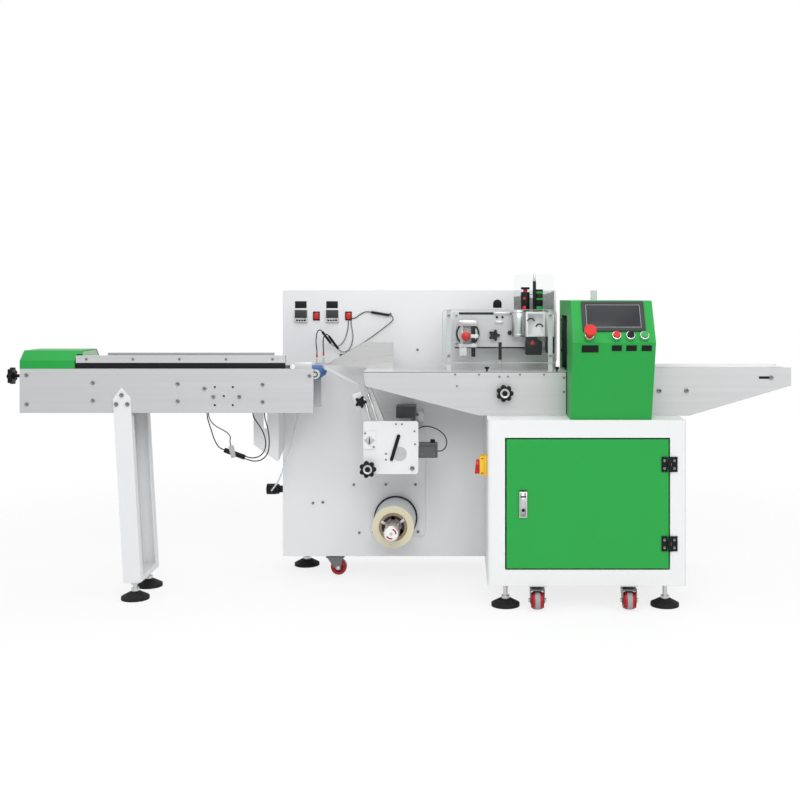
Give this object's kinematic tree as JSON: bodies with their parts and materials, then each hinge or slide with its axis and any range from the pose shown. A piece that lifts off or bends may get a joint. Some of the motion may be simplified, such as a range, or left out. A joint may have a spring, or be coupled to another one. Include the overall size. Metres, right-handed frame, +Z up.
{
  "type": "horizontal flow wrapper",
  "caption": "Horizontal flow wrapping machine with a belt infeed, film former, film reel, fin-seal bed, end-seal console over an electrical cabinet, and a discharge belt.",
  "frame": {"origin": "on the floor, at the middle of the overall length and depth", "axes": "+X along the product flow from infeed to discharge, +Z up, -Y towards the operator"},
  "size_m": [2.735, 0.822, 1.129],
  "materials": {
    "white_paint": "satin powder coat",
    "green_paint": "satin powder coat",
    "aluminium": "brushed",
    "stainless": "brushed",
    "zinc_steel": "zinc plated",
    "black_plastic": "matte moulded",
    "red_plastic": "gloss moulded",
    "green_plastic": "gloss moulded",
    "foot_rubber": "matte",
    "black_belt": "matte",
    "blue_belt": "matte",
    "white_belt": "matte",
    "film": "wound clear film",
    "clear_sheet": "clear acrylic",
    "black_steel": "black oxide",
    "cable_black": "cable jacket",
    "cable_grey": "cable jacket",
    "hose_clear": "air hose"
  },
  "bodies": {
    "base": {"main_plate": "white_paint", "rear_housing": "white_paint", "cabinet_front_frame": "white_paint", "cabinet_shell": "white_paint", "infeed_supports": "white_paint", "film_plate": "white_paint", "infeed_hood": "green_paint", "console_housing": "green_paint", "conveyor_side_plates": "aluminium", "conveyor_beds": "aluminium", "guide_rails": "aluminium", "fin_unit": "aluminium", "film_rollers": "aluminium", "reel_column": "aluminium", "former": "stainless", "floor_fittings": "zinc_steel", "hinge_frame_leaves": "black_plastic", "clamp_knobs": "black_plastic", "photo_eye": "black_plastic", "coder": "black_plastic", "panel_fittings": "black_plastic", "foot_pads": "foot_rubber", "infeed_belt": "black_belt", "transfer_belt": "blue_belt", "discharge_belt": "white_belt", "guard_panels": "clear_sheet", "sensor_lead_outer": "cable_black", "sensor_lead_inner": "cable_grey", "loop_lead_upper": "cable_black", "loop_lead_lower": "cable_black", "heater_wire_1": "cable_black", "heater_wire_2": "cable_black", "heater_lead_1": "cable_black", "heater_lead_2": "cable_black", "pen_lead_upper": "cable_black", "pen_lead_lower": "cable_black", "eye_lead": "cable_black", "air_hose": "hose_clear", "lead_connectors": "black_plastic"},
    "door": {"door_panel": "green_paint", "door_hardware": "black_plastic"},
    "switch_handle": {"switch_handle": "red_plastic"},
    "estop": {"estop_head": "red_plastic"},
    "button_red": {"button_red": "red_plastic"},
    "button_black": {"button_black": "black_plastic"},
    "button_green": {"button_green": "green_plastic"},
    "reel": {"reel_shaft": "stainless", "film_roll": "film"},
    "infeed_knob": {"infeed_knob": "black_plastic"},
    "centre_handwheel": {"centre_handwheel": "black_plastic"},
    "film_handwheel": {"film_handwheel": "black_plastic"},
    "fin_lever": {"fin_lever": "red_plastic"},
    "caster_1": {"caster_fork_1": "black_steel"},
    "caster_1_wheel": {"caster_wheel_1": "red_plastic"},
    "caster_2": {"caster_fork_2": "black_steel"},
    "caster_2_wheel": {"caster_wheel_2": "red_plastic"},
    "caster_3": {"caster_fork_3": "black_steel"},
    "caster_3_wheel": {"caster_wheel_3": "red_plastic"},
    "caster_4": {"caster_fork_4": "black_steel"},
    "caster_4_wheel": {"caster_wheel_4": "red_plastic"}
  },
  "joints": [
    {"name": "door_hinge", "type": "hinge", "parent": "base", "child": "door", "pos_m": [0.922, -0.29403, 0.355], "axis": [0, 0, 1], "range_deg": [0, 120]},
    {"name": "main_switch", "type": "hinge", "parent": "base", "child": "switch_handle", "pos_m": [0.3165, -0.22903, 0.477], "axis": [1, 0, 0], "range_deg": [0, 90]},
    {"name": "estop_press", "type": "slide", "parent": "base", "child": "estop", "axis": [0, 0.8497, -0.5272], "range_m": [0, 0.005]},
    {"name": "red_button_press", "type": "slide", "parent": "base", "child": "button_red", "axis": [0, 0.8497, -0.5272], "range_m": [0, 0.003], "stiffness_N_per_m": 400},
    {"name": "black_button_press", "type": "slide", "parent": "base", "child": "button_black", "axis": [0, 0.8497, -0.5272], "range_m": [0, 0.003], "stiffness_N_per_m": 400},
    {"name": "green_button_press", "type": "slide", "parent": "base", "child": "button_green", "axis": [0, 0.8497, -0.5272], "range_m": [0, 0.003], "stiffness_N_per_m": 400},
    {"name": "reel_spin", "type": "hinge", "parent": "base", "child": "reel", "pos_m": [-0.0115, 0.12197, 0.232], "axis": [0, 1, 0], "continuous": true},
    {"name": "infeed_knob_turn", "type": "hinge", "parent": "base", "child": "infeed_knob", "pos_m": [-1.2895, -0.05903, 0.765], "axis": [1, 0, 0], "continuous": true},
    {"name": "centre_wheel_turn", "type": "hinge", "parent": "base", "child": "centre_handwheel", "pos_m": [0.3785, -0.15403, 0.713], "axis": [0, 1, 0], "continuous": true},
    {"name": "film_wheel_turn", "type": "hinge", "parent": "base", "child": "film_handwheel", "pos_m": [-0.0975, -0.08903, 0.442], "axis": [0, 1, 0], "continuous": true},
    {"name": "fin_lever_lift", "type": "hinge", "parent": "base", "child": "fin_lever", "pos_m": [0.2525, -0.02903, 0.905], "axis": [-1, 0, 0], "range_deg": [0, 60]},
    {"name": "caster_1_swivel", "type": "hinge", "parent": "base", "child": "caster_1", "pos_m": [0.4825, -0.25903, 0.069], "axis": [0, 0, 1], "continuous": true},
    {"name": "caster_1_roll", "type": "hinge", "parent": "caster_1", "child": "caster_1_wheel", "pos_m": [0.4825, -0.28403, 0.033], "axis": [1, 0, 0], "continuous": true},
    {"name": "caster_2_swivel", "type": "hinge", "parent": "base", "child": "caster_2", "pos_m": [0.7885, -0.25903, 0.069], "axis": [0, 0, 1], "continuous": true},
    {"name": "caster_2_roll", "type": "hinge", "parent": "caster_2", "child": "caster_2_wheel", "pos_m": [0.7885, -0.28403, 0.033], "axis": [1, 0, 0], "continuous": true},
    {"name": "caster_3_swivel", "type": "hinge", "parent": "base", "child": "caster_3", "pos_m": [-0.2545, 0.18097, 0.069], "axis": [0, 0, 1], "continuous": true},
    {"name": "caster_3_roll", "type": "hinge", "parent": "caster_3", "child": "caster_3_wheel", "pos_m": [-0.2295, 0.18097, 0.033], "axis": [0, 1, 0], "continuous": true},
    {"name": "caster_4_swivel", "type": "hinge", "parent": "base", "child": "caster_4", "pos_m": [0.8015, 0.18097, 0.069], "axis": [0, 0, 1], "continuous": true},
    {"name": "caster_4_roll", "type": "hinge", "parent": "caster_4", "child": "caster_4_wheel", "pos_m": [0.8265, 0.18097, 0.033], "axis": [0, 1, 0], "continuous": true}
  ]
}
